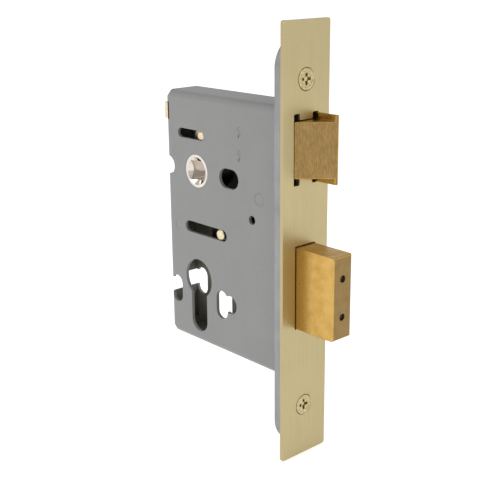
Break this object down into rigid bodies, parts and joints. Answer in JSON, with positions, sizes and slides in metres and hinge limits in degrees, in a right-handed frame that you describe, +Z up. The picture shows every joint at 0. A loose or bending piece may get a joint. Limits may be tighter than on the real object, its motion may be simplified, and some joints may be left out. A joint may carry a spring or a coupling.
{
  "type": "mortise lock",
  "caption": "Mortise sash lock for a profile cylinder: flat sheet case, double forend, bevelled spring latch worked by a square-bored follower, and a plain rectangular deadbolt.",
  "frame": {"origin": "middle of the outer forend's front face, which is the face left showing in the door's edge", "axes": "+X points out of the door edge, the way the bolts are thrown, so the case lies at -X; +Z is up along the forend; Y runs across the thickness of the door, with the staked case plate at -Y and the screwed cover at +Y"},
  "size_m": [0.0975, 0.025, 0.178],
  "materials": {
    "case_steel": "grey plated sheet steel, satin",
    "plated_cover": "grey plated sheet steel, bare and bright where its hook is cut off",
    "forend_steel": "zinc plated steel",
    "forend_brass": "satin champagne brass, fine upright brushing",
    "screw_brass": "satin brass plate",
    "plated_steel": "zinc plated, satin",
    "latch_brass": "the latch's bevel: brown-gold satin brass, fine upright brushing",
    "bolt_brass": "satin brass, semi-gloss",
    "inner_brass": "plain turned or cast brass",
    "pin_cream": "bright zinc, rumbled",
    "follower_nickel": "bright nickel plate on a sintered hub",
    "dark_steel": "dark oiled steel",
    "spring_steel": "oiled spring wire"
  },
  "bodies": {
    "case": {"case_tray": "case_steel", "case_cover": "plated_cover", "inner_forend": "forend_steel", "outer_forend": "forend_brass", "forend_screws": "screw_brass", "front_pillar": "case_steel", "lower_pillar": "plated_steel", "upper_pillar": "plated_steel", "cover_screws": "plated_steel", "latch_guide": "plated_steel", "latch_spring": "spring_steel", "follower_spring": "spring_steel", "detent_spring": "spring_steel"},
    "follower_group": {"follower": "follower_nickel"},
    "latch_group": {"latch_head": "latch_brass", "latch_rod": "plated_steel", "latch_carriage": "inner_brass", "latch_guide_pin": "pin_cream", "latch_drive_pin": "plated_steel"},
    "deadbolt_group": {"deadbolt_head": "bolt_brass", "deadbolt_tail": "dark_steel", "deadbolt_rivets": "bolt_brass", "hardened_rods": "dark_steel", "deadbolt_guide_pin": "pin_cream"}
  },
  "joints": [
    {"name": "follower_turn", "type": "hinge", "parent": "case", "child": "follower_group", "pos_m": [-0.057, 0, 0.024], "axis": [0, -1, 0], "range_deg": [0, 35], "deforming": ["follower_spring"]},
    {"name": "latch_slide", "type": "slide", "parent": "case", "child": "latch_group", "axis": [1, 0, 0], "range_m": [-0.011, 0], "stiffness_N_per_m": 500, "springref_m": 0.012, "deforming": ["latch_spring"]},
    {"name": "deadbolt_slide", "type": "slide", "parent": "case", "child": "deadbolt_group", "axis": [1, 0, 0], "range_m": [-0.02, 0], "deforming": ["detent_spring"]}
  ],
  "couplings": [
    {"joint": "follower_turn", "follows": "latch_slide", "rad_per_m": -55.533}
  ]
}
